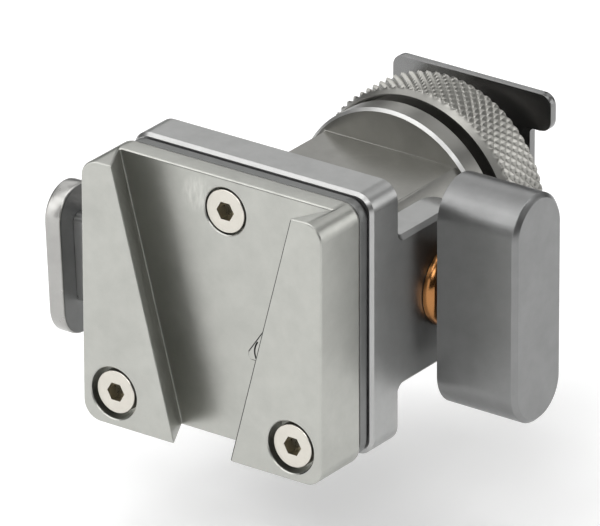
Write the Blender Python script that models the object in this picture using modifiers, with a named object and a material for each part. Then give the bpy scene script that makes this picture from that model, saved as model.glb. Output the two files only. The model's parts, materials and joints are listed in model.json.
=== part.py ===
"""Shoe-foot swivel bracket with a tilting wedge-slot head.

Frame: +X towards the tilt lever, +Y out of the back of the shoe foot, +Z up.
The origin is the centre of the shoe foot's back face, on the pan axis.
Everything is drawn in millimetres, where Booleans are reliable, and each finished
sub-part is brought to metres.
"""
import math

import bmesh
import bpy
from mathutils import Matrix, Vector

TO_METRES = 0.001

# Stations along Y, from the shoe foot's back face forwards
FOOT_THICK = 0.9
WASHER_BACK = -4.35
WHEEL_BACK = -5.23
WHEEL_LIP = -10.85
DISC_BACK = -12.0
DISC_FRONT = -14.5
TILT_Y = -24.7
FLANGE_BACK = -32.55
FLANGE_FRONT = -37.0
GASKET_FRONT = -37.6
COVER_FRONT = -38.6
PLATE_BACK = -38.68
SLOT_FLOOR = -41.24
PLATE_FRONT = -45.19

# Heights above the pan axis
HEAD_Z = 0.27
TILT_Z = 0.5
LATCH_Z = -1.93

# Head
HEAD_HALF_WIDTH = 13.88
HEAD_HALF_HEIGHT = 13.45
HEAD_CORNER = 1.9
SLOT_HALF_MID = 6.76
SLOT_TAPER = 0.264
SLOT_UNDERCUT = 2.0
ARM_INNER = 9.93
ARM_HALF_HEIGHT = 7.7

# Neck
TONGUE_HALF_WIDTH = 9.55
TONGUE_RADIUS = 6.55
NECK_RADIUS = 10.35
DISC_RADIUS = 11.0

# Shoe foot and lock wheel
FOOT_HALF_WIDTH = 9.3
FOOT_HALF_HEIGHT = 10.0
FOOT_WAIST = 6.87
FOOT_EAR = 3.85
WHEEL_RADIUS = 11.8
STUD_RADIUS = 3.0
JOURNAL_RADIUS = 2.5

# Tilt lever and bolt
LEVER_INNER = 15.34
LEVER_OUTER = 24.32
LEVER_RADIUS = 3.88
LEVER_HALF_SPAN = 7.82
BOLT_RADIUS = 2.0

# Release latch
BUTTON_OUTER = -23.2
BUTTON_INNER = -21.35
BUTTON_Y = -35.32
BUTTON_Z = -2.28
BUTTON_RADIUS = 3.2
BUTTON_HALF_SPAN = 4.7
LATCH_LEAN = math.radians(3.5)
SLIDER_Y = -35.0
SLIDER_HALF_THICK = 1.4
SLIDER_HALF_HEIGHT = 4.7
SLIDER_END = 8.6
CHANNEL_END = 12.5
CATCH_FRONT = -43.8
CATCH_TIP = 4.4
CATCH_RIGHT = 8.2
CATCH_LOW = -2.8
CATCH_HIGH = 0.8
LATCH_TRAVEL = 2.5

# Plate screws: x, z above the head's middle
TOP_SCREW = (0.0, 10.0)
LOW_SCREW_X = 10.3
LOW_SCREW_Z = -10.05
SCREW_HEAD = 2.18
TOP_SEAT = 2.38
LOW_SEAT = 2.65

GAP = 0.06
RUN = 0.05
MERGE = 0.0001

for leftover in list(bpy.data.objects):
    bpy.data.objects.remove(leftover, do_unlink=True)

part = bpy.data.collections.new("shoe_swivel_bracket")
bpy.context.scene.collection.children.link(part)


def material(name, colour, roughness, metallic):
    """A plain Principled material."""
    made = bpy.data.materials.new(name)
    made.use_nodes = True
    shader = made.node_tree.nodes["Principled BSDF"]
    shader.inputs["Base Color"].default_value = (*colour, 1.0)
    shader.inputs["Roughness"].default_value = roughness
    shader.inputs["Metallic"].default_value = metallic
    return made


def finish(obj, look):
    """Bake a sub-part's modifiers, bring it to metres and give it its material."""
    bpy.context.view_layer.update()
    mesh = bpy.data.meshes.new_from_object(obj.evaluated_get(bpy.context.evaluated_depsgraph_get()))
    mesh.transform(Matrix.Scale(TO_METRES, 4) @ obj.matrix_world)
    name = obj.name
    for step in obj.modifiers:
        if step.type == "BOOLEAN":
            bpy.data.objects.remove(step.object, do_unlink=True)
    bpy.data.objects.remove(obj, do_unlink=True)
    solid = bpy.data.objects.new(name, mesh)
    part.objects.link(solid)
    mesh.name = name
    mesh.materials.clear()
    mesh.materials.append(material(name + "_look", *look))
    mesh.shade_smooth()
    mesh.set_sharp_from_angle(angle=math.radians(30))
    return solid


def box(name, low, high):
    """A box between two corners."""
    mesh = bpy.data.meshes.new(name)
    shape = bmesh.new()
    bmesh.ops.create_cube(shape, size=1.0)
    size = [b - a for a, b in zip(low, high)]
    middle = [(a + b) / 2 for a, b in zip(low, high)]
    bmesh.ops.scale(shape, vec=size, verts=shape.verts)
    bmesh.ops.translate(shape, vec=middle, verts=shape.verts)
    shape.to_mesh(mesh)
    shape.free()
    obj = bpy.data.objects.new(name, mesh)
    part.objects.link(obj)
    return obj


# Local Z of a turned or extruded piece is laid along a world axis
LAY = {
    "X": Matrix(((0, 0, 1), (1, 0, 0), (0, 1, 0))).to_4x4(),
    "Y": Matrix(((1, 0, 0), (0, 0, -1), (0, 1, 0))).to_4x4(),
}


def turned(name, profile, axis, centre, ring=False, steps=40):
    """A solid of revolution from (radius, station) pairs, listed from the far end back.

    A ring's profile is a closed loop; any other starts and ends on the axis.
    """
    mesh = bpy.data.meshes.new(name)
    points = [(radius, 0.0, station) for radius, station in profile]
    edges = [(i, i + 1) for i in range(len(points) - 1)]
    if ring:
        edges.append((len(points) - 1, 0))
    mesh.from_pydata(points, edges, [])
    obj = bpy.data.objects.new(name, mesh)
    part.objects.link(obj)
    spin = obj.modifiers.new("turn", "SCREW")
    spin.steps = steps
    spin.render_steps = steps
    spin.use_merge_vertices = True
    spin.merge_threshold = MERGE
    if axis == "Y":
        obj.matrix_world = Matrix.Translation(centre) @ Matrix.Rotation(math.radians(-90), 4, "X")
    else:
        obj.matrix_world = Matrix.Translation(centre) @ Matrix.Rotation(math.radians(90), 4, "Y")
    return obj


def rod(name, axis, centre, radius, start, end, steps=40):
    """A plain cylinder between two stations on an axis."""
    return turned(name, [(0, end), (radius, end), (radius, start), (0, start)], axis, centre, steps=steps)


def stepped_rod(name, axis, centre, back, *steps, sides=28):
    """A shaft of several radii, listed as (radius, front end) from the back forwards."""
    profile, station = [(0, back)], back
    for radius, end in steps:
        profile += [(radius, station), (radius, end)]
        station = end
    return turned(name, profile + [(0, station)], axis, centre, steps=sides)


def ring(name, axis, centre, outer, inner, start, end, bevel=0.0, steps=40):
    """A washer or bush, with an optional bevel on its outer edges."""
    if bevel:
        side = [(outer - bevel, end), (outer, end - bevel), (outer, start + bevel), (outer - bevel, start)]
    else:
        side = [(outer, end), (outer, start)]
    return turned(name, side + [(inner, start), (inner, end)], axis, centre, ring=True, steps=steps)


def arc(centre, radius, first, last, count):
    """Points along an arc, angles in degrees."""
    turn = [math.radians(first + (last - first) * i / count) for i in range(count + 1)]
    return [(centre[0] + radius * math.cos(a), centre[1] + radius * math.sin(a)) for a in turn]


def rounded_rectangle(half_u, half_v, corner, centre=(0.0, 0.0), count=6):
    """Outline of a rectangle with round corners."""
    u, v = half_u - corner, half_v - corner
    points = []
    for sign_u, sign_v, first in ((1, 1, 0), (-1, 1, 90), (-1, -1, 180), (1, -1, 270)):
        points += arc((centre[0] + sign_u * u, centre[1] + sign_v * v), corner, first, first + 90, count)
    return points


def stadium(radius, half_span, centre=(0.0, 0.0), count=16):
    """Outline of a slot shape that stands along v."""
    top = arc((centre[0], centre[1] + half_span), radius, 0, 180, count)
    low = arc((centre[0], centre[1] - half_span), radius, 180, 360, count)
    return top + low


def plate(name, outline, axis, start, end, chamfer=0.0):
    """An outline extruded along X (outline in Y, Z) or along Y (outline in X, Z)."""
    curve = bpy.data.curves.new(name, "CURVE")
    curve.dimensions = "2D"
    curve.fill_mode = "BOTH"
    curve.extrude = (end - start) / 2
    spline = curve.splines.new("POLY")
    spline.points.add(len(outline) - 1)
    for point, (u, v) in zip(spline.points, outline):
        point.co = (round(u, 4), round(v, 4), 0.0, 1.0)
    spline.use_cyclic_u = True
    draft = bpy.data.objects.new(name + "_draft", curve)
    part.objects.link(draft)
    bpy.context.view_layer.update()
    mesh = bpy.data.meshes.new_from_object(draft.evaluated_get(bpy.context.evaluated_depsgraph_get()))
    bpy.data.objects.remove(draft, do_unlink=True)
    shape = bmesh.new()
    shape.from_mesh(mesh)
    bmesh.ops.remove_doubles(shape, verts=shape.verts, dist=MERGE)
    bmesh.ops.transform(shape, matrix=LAY[axis], verts=shape.verts)
    middle = (start + end) / 2
    offset = (middle, 0, 0) if axis == "X" else (0, middle, 0)
    bmesh.ops.translate(shape, vec=offset, verts=shape.verts)
    bmesh.ops.recalc_face_normals(shape, faces=shape.faces)
    shape.to_mesh(mesh)
    shape.free()
    mesh.name = name
    obj = bpy.data.objects.new(name, mesh)
    part.objects.link(obj)
    if chamfer:
        soften(obj, chamfer)
    return obj


def soften(obj, width):
    """Chamfer the sharp edges."""
    edge = obj.modifiers.new("chamfer", "BEVEL")
    edge.width = width
    edge.segments = 1
    edge.limit_method = "ANGLE"
    edge.angle_limit = math.radians(50)


def boolean(obj, tool, operation, solver="EXACT"):
    """Cut, join or intersect with another object, which goes once the piece is finished."""
    step = obj.modifiers.new(operation.lower(), "BOOLEAN")
    step.operation = operation
    step.solver = solver
    step.object = tool


def cut(obj, *tools):
    for tool in tools:
        boolean(obj, tool, "DIFFERENCE")


def join(obj, *tools):
    for tool in tools:
        boolean(obj, tool, "UNION")


def lean(obj):
    """Turn a latch piece by the latch's lean, about X through the button's centre."""
    bpy.context.view_layer.update()
    pivot = Vector((0, BUTTON_Y, LATCH_Z))
    turn = Matrix.Translation(pivot) @ Matrix.Rotation(LATCH_LEAN, 4, "X") @ Matrix.Translation(-pivot)
    obj.matrix_world = turn @ obj.matrix_world
    return obj


ALUMINIUM = ((0.52, 0.52, 0.53), 0.38, 1.0)
PLATE_GREY = ((0.55, 0.55, 0.51), 0.42, 1.0)
STEEL = ((0.62, 0.58, 0.56), 0.28, 1.0)
BRONZE = ((0.52, 0.27, 0.1), 0.25, 1.0)
DARK = ((0.03, 0.03, 0.03), 0.7, 0.0)
PLASTIC = ((0.75, 0.74, 0.68), 0.5, 0.0)

PAN = (0.0, 0.0, 0.0)
TILT = (0.0, TILT_Y, TILT_Z)


def hex_key(name, axis, centre, across, start, end):
    """A hexagonal cutter for a key socket."""
    radius = across / math.sqrt(3)
    return rod(name, axis, centre, radius, start, end, steps=6)


# Shoe foot and its stud

def make_shoe_foot():
    corner, root = 1.2, 0.5
    step_z = FOOT_HALF_HEIGHT - FOOT_EAR
    quarter = arc((FOOT_WAIST + root, step_z - root), root, 180, 90, 4)
    quarter += arc((FOOT_HALF_WIDTH - corner, step_z + corner), corner, 270, 360, 5)
    quarter += arc((FOOT_HALF_WIDTH - corner, FOOT_HALF_HEIGHT - corner), corner, 0, 90, 5)
    mirrored = [(-u, v) for u, v in reversed(quarter)]
    outline = quarter + mirrored + [(-u, -v) for u, v in quarter] + [(u, -v) for u, v in reversed(quarter)]
    foot = plate("shoe_foot", outline, "Y", -FOOT_THICK, 0.0, chamfer=0.12)
    root_y, shoulder, end, tap = -0.3, -10.65, -18.25, 1.2
    stud = turned(
        "stud_blank",
        [
            (0, root_y), (STUD_RADIUS, root_y), (STUD_RADIUS, shoulder + 0.3), (STUD_RADIUS - 0.3, shoulder),
            (JOURNAL_RADIUS, shoulder), (JOURNAL_RADIUS, end), (tap, end), (tap, -13.8), (0, -13.8),
        ],
        "Y", PAN,
    )
    boolean(foot, stud, "UNION", solver="MANIFOLD")
    return finish(foot, STEEL)


def make_stud_fasteners():
    collar = ring("swivel_collar", "Y", PAN, 5.5, JOURNAL_RADIUS + RUN, -11.48, -10.72)
    thrust = ring("thrust_washer", "Y", PAN, 6.5, JOURNAL_RADIUS + RUN, -11.94, -11.54)
    washer = ring("stud_washer", "Y", PAN, 3.2, 1.3, -18.95, -18.31, steps=28)
    head_front, head_back = -20.7, -19.0
    screw = turned(
        "stud_screw",
        [
            (0, -14.4), (1.15, -14.4), (1.15, head_back), (2.8, head_back),
            (2.8, head_front + 0.3), (2.5, head_front), (0, head_front),
        ],
        "Y", PAN, steps=28,
    )
    cut(screw, hex_key("stud_screw_key", "Y", PAN, 2.0, -21, -19.8))
    finish(collar, STEEL)
    finish(thrust, PLASTIC)
    finish(washer, STEEL)
    finish(screw, STEEL)


# Lock wheel and its pressure washer

def make_lock_wheel():
    lip, knurl_root = 11.2, 11.5
    profile = [
        (WHEEL_RADIUS - 0.4, WHEEL_BACK), (WHEEL_RADIUS, WHEEL_BACK - 0.4), (WHEEL_RADIUS, -9.85),
        (knurl_root, -10.05), (lip, WHEEL_LIP), (lip - 0.25, WHEEL_LIP), (lip - 0.6, -9.2), (5.0, -9.2),
        (STUD_RADIUS + RUN, -9.0), (STUD_RADIUS + RUN, WHEEL_BACK),
    ]
    wheel = turned("lock_wheel", profile, "Y", PAN, ring=True, steps=56)
    return finish(wheel, ALUMINIUM)


def make_lock_washer():
    washer = ring(
        "lock_washer", "Y", PAN, 7.5, STUD_RADIUS + RUN, WHEEL_BACK + GAP, WASHER_BACK, bevel=0.15
    )
    return finish(washer, STEEL)


# Swivel neck: a turned blank milled down to a tongue

def make_swivel_neck():
    chamfer = 0.2
    front = TILT_Y - TONGUE_RADIUS - 1
    blank = turned(
        "swivel_neck",
        [
            (0, DISC_BACK), (DISC_RADIUS - chamfer, DISC_BACK), (DISC_RADIUS, DISC_BACK - chamfer),
            (DISC_RADIUS, DISC_FRONT + chamfer), (DISC_RADIUS - chamfer, DISC_FRONT),
            (NECK_RADIUS, DISC_FRONT), (NECK_RADIUS, front), (0, front),
        ],
        "Y", PAN, steps=56,
    )
    reach = 14
    top, low = TILT_Z + TONGUE_RADIUS, TILT_Z - TONGUE_RADIUS
    outline = [(0.0, -reach), (0.0, reach), (DISC_FRONT, reach), (DISC_FRONT, top)]
    outline += arc((TILT_Y, TILT_Z), TONGUE_RADIUS, 90, 270, 24)
    outline += [(DISC_FRONT, low), (DISC_FRONT, -reach)]
    boolean(blank, plate("neck_outline", outline, "X", -reach, reach), "INTERSECT")
    for side in (-1, 1):
        edges = sorted((side * TONGUE_HALF_WIDTH, side * reach))
        cut(blank, box(f"neck_side_{side}", (edges[0], -40, -reach), (edges[1], DISC_FRONT, reach)))
    cut(
        blank,
        rod("tilt_bore", "X", TILT, 3.2, -reach, reach, steps=32),
        stepped_rod("stud_bore", "Y", PAN, 0, (JOURNAL_RADIUS + RUN, -18.2), (3.4, -36), sides=40),
    )
    return finish(blank, ALUMINIUM)


def make_tilt_bushes():
    made = []
    for side, name in ((-1, "left"), (1, "right")):
        ends = sorted((side * 3.9, side * (TONGUE_HALF_WIDTH - GAP)))
        bush = ring(f"tilt_bush_{name}", "X", TILT, 3.15, BOLT_RADIUS + RUN, *ends, steps=32)
        made.append(finish(bush, BRONZE))
    return made


# Tilting head

def make_head_clevis():
    outline = rounded_rectangle(HEAD_HALF_WIDTH, HEAD_HALF_HEIGHT, HEAD_CORNER, (0, HEAD_Z))
    flange = plate("head_clevis", outline, "Y", FLANGE_FRONT, FLANGE_BACK, chamfer=0.32)
    chamfer, fillet, overlap = 0.42, 0.8, 1.0
    top, low = HEAD_Z + ARM_HALF_HEIGHT, HEAD_Z - ARM_HALF_HEIGHT
    arm = [(FLANGE_BACK - overlap, low - fillet), (FLANGE_BACK, low - fillet)]
    arm += arc((FLANGE_BACK + fillet, low - fillet), fillet, 180, 90, 4)
    arm += arc((TILT_Y, HEAD_Z), ARM_HALF_HEIGHT, -90, 90, 24)
    arm += arc((FLANGE_BACK + fillet, top + fillet), fillet, 270, 180, 4)
    arm.append((FLANGE_BACK - overlap, top + fillet))
    for side in (-1, 1):
        ends = sorted((side * ARM_INNER, side * (HEAD_HALF_WIDTH - 0.01)))
        join(flange, plate(f"arm_{side}", arm, "X", *ends, chamfer=chamfer))
    cut(
        flange,
        stepped_rod("bolt_bore", "X", TILT, 20, (BOLT_RADIUS + RUN, -11.6), (3.6, -20), sides=32),
        box(
            "latch_channel",
            (-20, FLANGE_FRONT - 1, LATCH_Z - SLIDER_HALF_HEIGHT - 0.4),
            (CHANNEL_END, SLIDER_Y + SLIDER_HALF_THICK + 0.45, LATCH_Z + SLIDER_HALF_HEIGHT + 0.4),
        ),
    )
    cut(flange, *screw_holes("flange", 1.25, -33.3))
    return finish(flange, ALUMINIUM)


def screw_places():
    """Names and centres of the three plate screws."""
    return (
        ("top", (TOP_SCREW[0], 0.0, HEAD_Z + TOP_SCREW[1])),
        ("left", (-LOW_SCREW_X, 0.0, HEAD_Z + LOW_SCREW_Z)),
        ("right", (LOW_SCREW_X, 0.0, HEAD_Z + LOW_SCREW_Z)),
    )


def screw_seat(place):
    """Where a plate screw's head ends at the front, and the radius of its counterbore."""
    return (SLOT_FLOOR + 0.03, TOP_SEAT) if place == "top" else (PLATE_FRONT + 0.33, LOW_SEAT)


def screw_holes(name, radius, end):
    """Clearance holes for the plate screws, from the front to a depth."""
    return [
        rod(f"{name}_hole_{place}", "Y", centre, radius, PLATE_FRONT - 1, end, steps=20)
        for place, centre in screw_places()
    ]


def catch_outline(gap=0.0, travel=0.0):
    """The catch seen from the front: a ramp at the upper left, over a round toe."""
    ramp_top, tip_z, toe = 6.3, -1.95, 0.45
    outline = [(ramp_top - gap / 2, CATCH_HIGH + gap), (CATCH_TIP - gap, tip_z)]
    outline += arc((CATCH_TIP + toe, CATCH_LOW + toe), toe + gap, 180, 270, 5)
    right = CATCH_RIGHT + gap + travel
    return outline + [(right, CATCH_LOW - gap), (right, CATCH_HIGH + gap)]


def catch_window(name):
    """The way that the catch runs in: cut through the plate, the cover and the gasket."""
    outline = catch_outline(0.12, LATCH_TRAVEL)
    return plate(name, outline, "Y", CATCH_FRONT - 0.25, FLANGE_FRONT + 0.5)


def make_wedge_plate():
    outline = rounded_rectangle(HEAD_HALF_WIDTH, HEAD_HALF_HEIGHT, HEAD_CORNER, (0, HEAD_Z))
    blank = plate("wedge_plate", outline, "Y", PLATE_FRONT, PLATE_BACK, chamfer=0.25)
    cut(blank, dovetail("wedge_slot"), catch_window("plate_window"))
    for place, centre in screw_places():
        front, radius = screw_seat(place)
        cut(blank, stepped_rod(f"seat_{place}", "Y", centre, -37, (1.3, front + 1.6), (radius, -47)))
    return finish(blank, PLATE_GREY)


def dovetail(name):
    """The wedge slot: wide at the top, narrow at the bottom, its floor wider than its mouth."""
    past = 2
    lean_out = SLOT_UNDERCUT / (SLOT_FLOOR - PLATE_FRONT)
    obj = box(name, (-1, -1, -1), (1, 1, 1))
    for vertex in obj.data.vertices:
        height = math.copysign(HEAD_HALF_HEIGHT + past, vertex.co.z)
        y = SLOT_FLOOR if vertex.co.y > 0 else PLATE_FRONT - past
        half = SLOT_HALF_MID + SLOT_TAPER * height + lean_out * (y - PLATE_FRONT)
        vertex.co = (math.copysign(half, vertex.co.x), y, HEAD_Z + height)
    return obj


def make_plate_layers():
    layers = []
    for name, inset, ends in (
        ("latch_cover", 0.25, (COVER_FRONT, GASKET_FRONT)),
        ("plate_gasket", 0.5, (GASKET_FRONT + GAP, FLANGE_FRONT - GAP)),
    ):
        half_width, half_height = HEAD_HALF_WIDTH - inset, HEAD_HALF_HEIGHT - inset
        layers.append(plate(name, rounded_rectangle(half_width, half_height, HEAD_CORNER, (0, HEAD_Z)), "Y", *ends))
    for layer in layers:
        cut(layer, catch_window(layer.name + "_window"))
        cut(layer, *screw_holes(layer.name, 1.4, FLANGE_FRONT + 1))
    return [finish(layer, look) for layer, look in zip(layers, (ALUMINIUM, DARK))]


def make_plate_screws():
    made = []
    end = -33.6
    shank, edge, socket = 1.2, 0.15, 1.6
    for place, centre in screw_places():
        front = screw_seat(place)[0]
        seat = front + 1.5
        screw = turned(
            f"plate_screw_{place}",
            [
                (0, end), (shank, end), (shank, seat), (SCREW_HEAD, seat),
                (SCREW_HEAD, front + edge), (SCREW_HEAD - edge, front), (0, front),
            ],
            "Y", centre, steps=28,
        )
        key = hex_key(f"key_{place}", "Y", centre, socket, front - 1, front + 0.9)
        cut(screw, key)
        made.append(finish(screw, STEEL))
    return made


# Tilt bolt, washers and lever

def make_tilt_bolt():
    head_end, head_root, radius, edge = -13.75, -11.66, 3.45, 0.3
    bolt = turned(
        "tilt_bolt",
        [
            (0, 19.8), (BOLT_RADIUS - edge, 19.8), (BOLT_RADIUS, 19.8 - edge),
            (BOLT_RADIUS, head_root), (radius, head_root), (radius, head_end + edge),
            (radius - edge, head_end), (0, head_end),
        ],
        "X", TILT, steps=36,
    )
    cut(bolt, hex_key("tilt_bolt_key", "X", TILT, 3.0, -16, -12.5))
    return finish(bolt, STEEL)


def make_tilt_shims():
    made = []
    for side, name in ((-1, "left"), (1, "right")):
        ends = sorted((side * (TONGUE_HALF_WIDTH + GAP), side * (ARM_INNER - GAP)))
        shim = ring(f"tilt_shim_{name}", "X", TILT, 4.8, BOLT_RADIUS + 0.1, *ends, steps=32)
        made.append(finish(shim, DARK))
    return made


def make_lever_washer():
    start, end = HEAD_HALF_WIDTH + 0.07, LEVER_INNER - 0.07
    flat, crown, inner = 2.75, 1.42, BOLT_RADIUS + 0.1
    rim = [(flat + crown * u, start + (end - start) * v) for u, v in arc((0, 0), 1, 90, 0, 6)]
    washer = turned("lever_washer", rim + [(inner, start), (inner, end)], "X", TILT, ring=True, steps=32)
    return finish(washer, BRONZE)


def make_tilt_lever():
    outline = stadium(LEVER_RADIUS, LEVER_HALF_SPAN, (TILT_Y, TILT_Z))
    lever = plate("tilt_lever", outline, "X", LEVER_INNER - 1, LEVER_OUTER, chamfer=0.45)
    reach = LEVER_RADIUS + LEVER_HALF_SPAN + 1
    inner_side = box(
        "lever_inner_side",
        (LEVER_INNER - 2, TILT_Y - reach, TILT_Z - reach), (LEVER_INNER, TILT_Y + reach, TILT_Z + reach),
    )
    cut(lever, inner_side, rod("insert_bore", "X", TILT, 3.0, LEVER_INNER - 1, 21.2, steps=32))
    return finish(lever, ALUMINIUM)


def make_lever_insert():
    insert = ring(
        "lever_insert", "X", TILT, 2.94, BOLT_RADIUS + RUN, LEVER_INNER + 0.1, 21.1, steps=32
    )
    return finish(insert, STEEL)


# Release latch

def make_release_button():
    outline = stadium(BUTTON_RADIUS, BUTTON_HALF_SPAN, (BUTTON_Y, BUTTON_Z))
    button = plate("release_button", outline, "X", BUTTON_OUTER, BUTTON_INNER, chamfer=0.25)
    centre = (0.0, SLIDER_Y, LATCH_Z)
    cut(
        button,
        rod("button_hole", "X", centre, 0.95, BUTTON_OUTER - 1, BUTTON_INNER + 1, steps=20),
        rod("button_recess", "X", centre, 1.75, BUTTON_OUTER - 1, BUTTON_OUTER + 1.0, steps=28),
    )
    return finish(lean(button), ALUMINIUM)


def make_button_screw():
    head, shank, end = 1.65, 0.85, -18.0
    front, seat = BUTTON_OUTER + 0.1, BUTTON_OUTER + 0.93
    centre = (0.0, SLIDER_Y, LATCH_Z)
    screw = turned(
        "button_screw",
        [(0, end), (shank, end), (shank, seat), (head, seat), (head, front), (0, front)],
        "X", centre, steps=24,
    )
    cut(screw, hex_key("button_screw_key", "X", centre, 1.3, front - 1, front + 0.5))
    return finish(lean(screw), STEEL)


def make_latch_slider():
    outline = rounded_rectangle(SLIDER_HALF_THICK, SLIDER_HALF_HEIGHT, 0.8, (SLIDER_Y, LATCH_Z), count=4)
    slider = plate("latch_slider", outline, "X", BUTTON_INNER + GAP, SLIDER_END)
    centre = (0.0, SLIDER_Y, LATCH_Z)
    cut(slider, rod("slider_tap", "X", centre, 0.9, -23, -17.6, steps=20))
    return finish(lean(slider), STEEL)


def make_latch_catch():
    return finish(plate("latch_catch", catch_outline(), "Y", CATCH_FRONT, -36.6), STEEL)


def make_latch_spring():
    start, end = SLIDER_END + 0.2, CHANNEL_END - 0.2
    turns, per_turn, radius, wire = 4, 10, 1.1, 0.15
    curve = bpy.data.curves.new("latch_spring", "CURVE")
    curve.dimensions = "3D"
    curve.bevel_depth = wire
    curve.bevel_resolution = 1
    curve.use_fill_caps = True
    spline = curve.splines.new("POLY")
    count = turns * per_turn
    spline.points.add(count)
    length = end - start - 2 * wire
    for i, point in enumerate(spline.points):
        angle = 2 * math.pi * i / per_turn
        x = start + wire + length * i / count
        point.co = (x, SLIDER_Y + radius * math.cos(angle), LATCH_Z + radius * math.sin(angle), 1.0)
    spring = bpy.data.objects.new("latch_spring", curve)
    part.objects.link(spring)
    weld = spring.modifiers.new("weld", "WELD")
    weld.merge_threshold = MERGE
    return finish(spring, STEEL)


def carry(name, place, pieces, parent=None):
    """Hang pieces on an empty that sits on their joint's axis."""
    bpy.context.view_layer.update()
    empty = bpy.data.objects.new(name, None)
    empty.empty_display_size = 5 * TO_METRES
    part.objects.link(empty)
    empty.matrix_world = Matrix.Translation(Vector(place) * TO_METRES)
    bpy.context.view_layer.update()
    for piece in pieces:
        kept = piece.matrix_world.copy()
        piece.parent = empty
        piece.matrix_parent_inverse = empty.matrix_world.inverted()
        piece.matrix_world = kept
    if parent:
        kept = empty.matrix_world.copy()
        empty.parent = parent
        empty.matrix_parent_inverse = parent.matrix_world.inverted()
        empty.matrix_world = kept
    return empty


def main():
    make_shoe_foot()
    make_stud_fasteners()
    washer_slide = carry("lock_washer_slide", PAN, [make_lock_washer()])
    carry("lock_wheel_axis", PAN, [make_lock_wheel()], washer_slide)
    pan = carry("pan_axis", PAN, [make_swivel_neck(), *make_tilt_bushes()])
    head = [make_head_clevis(), make_wedge_plate(), *make_plate_layers(), *make_plate_screws()]
    head += [make_tilt_bolt(), *make_tilt_shims(), make_latch_spring()]
    tilt = carry("tilt_axis", TILT, head, pan)
    lever_slide = carry("lever_washer_slide", TILT, [make_lever_washer()], tilt)
    carry("tilt_lever_axis", TILT, [make_tilt_lever(), make_lever_insert()], lever_slide)
    latch = [make_release_button(), make_button_screw(), make_latch_slider(), make_latch_catch()]
    carry("latch_slide", (0.0, SLIDER_Y, LATCH_Z), latch, tilt)
    bpy.context.view_layer.update()


main()
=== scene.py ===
import json
import math

import bmesh
import bpy
from mathutils import Matrix, Vector


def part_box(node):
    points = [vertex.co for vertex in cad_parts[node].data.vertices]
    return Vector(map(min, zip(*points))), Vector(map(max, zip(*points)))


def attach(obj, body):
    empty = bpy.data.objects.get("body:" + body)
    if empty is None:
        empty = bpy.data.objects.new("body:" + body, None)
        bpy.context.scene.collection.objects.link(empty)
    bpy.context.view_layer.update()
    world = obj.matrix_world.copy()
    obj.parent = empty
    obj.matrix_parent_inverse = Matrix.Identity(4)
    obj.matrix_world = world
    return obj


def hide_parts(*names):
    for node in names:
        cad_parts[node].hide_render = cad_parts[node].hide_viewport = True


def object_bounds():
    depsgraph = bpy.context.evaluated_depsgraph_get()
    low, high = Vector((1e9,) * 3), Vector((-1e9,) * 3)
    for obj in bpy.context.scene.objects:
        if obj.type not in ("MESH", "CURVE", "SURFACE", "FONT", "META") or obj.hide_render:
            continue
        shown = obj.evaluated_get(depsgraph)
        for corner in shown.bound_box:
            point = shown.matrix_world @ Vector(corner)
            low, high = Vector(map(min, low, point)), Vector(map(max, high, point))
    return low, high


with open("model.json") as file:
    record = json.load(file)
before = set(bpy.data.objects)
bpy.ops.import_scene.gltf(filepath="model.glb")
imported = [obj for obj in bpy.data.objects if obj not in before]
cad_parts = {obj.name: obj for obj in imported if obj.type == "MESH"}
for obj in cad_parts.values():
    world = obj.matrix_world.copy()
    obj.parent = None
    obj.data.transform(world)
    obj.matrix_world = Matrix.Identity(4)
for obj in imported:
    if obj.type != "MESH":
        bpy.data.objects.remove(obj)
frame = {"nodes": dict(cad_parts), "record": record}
CAD_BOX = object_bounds()

# Pieces are drawn in millimetres in the frame's own axes, where Booleans are
# reliable, and show() brings each one to metres.
TO_METRES = 0.001
MERGE = 0.0001
FINE = 96

RECORD = frame["record"]
BODY_OF = {n: body for body, nodes in RECORD["behaviour"]["bodies"].items() for n in nodes}


def extent(node):
    """A node's lowest and highest corners, in millimetres."""
    low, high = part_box(node)
    return low / TO_METRES, high / TO_METRES


PLATE_LOW, PLATE_HIGH = extent("wedge_plate")
CLEVIS_LOW, CLEVIS_HIGH = extent("head_clevis")
NECK_HIGH = extent("swivel_neck")[1]
WHEEL_LOW, WHEEL_HIGH = extent("lock_wheel")
FOOT_LOW, FOOT_HIGH = extent("shoe_foot")
LEVER_LOW, LEVER_HIGH = extent("tilt_lever")
BOLT_LOW, BOLT_HIGH = extent("tilt_bolt")

PAN = (0.0, 0.0, 0.0)
TILT_Y = (LEVER_LOW.y + LEVER_HIGH.y) / 2
TILT_Z = (LEVER_LOW.z + LEVER_HIGH.z) / 2
TILT = (0.0, TILT_Y, TILT_Z)
HEAD_Z = (PLATE_LOW.z + PLATE_HIGH.z) / 2
HALF_WIDTH = PLATE_HIGH.x
HALF_HEIGHT = (PLATE_HIGH.z - PLATE_LOW.z) / 2
HEAD_CORNER = 1.9

scene = bpy.context.scene
scene.unit_settings.system = "METRIC"


# ---------------------------------------------------------------- drawing

# Turns that lay a flat outline across an axis, and a solid of revolution along it
LAY = {
    "X": Matrix(((0, 0, 1), (1, 0, 0), (0, 1, 0))).to_4x4(),
    "Y": Matrix(((1, 0, 0), (0, 0, -1), (0, 1, 0))).to_4x4(),
}
STAND = {
    "X": Matrix.Rotation(math.radians(90), 4, "Y"),
    "Y": Matrix.Rotation(math.radians(-90), 4, "X"),
}


def link(name, data):
    obj = bpy.data.objects.new(name, data)
    scene.collection.objects.link(obj)
    return obj


def arc(centre, radius, first, last, count):
    """Points along an arc, angles in degrees."""
    turn = [math.radians(first + (last - first) * i / count) for i in range(count + 1)]
    return [(centre[0] + radius * math.cos(a), centre[1] + radius * math.sin(a)) for a in turn]


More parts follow.
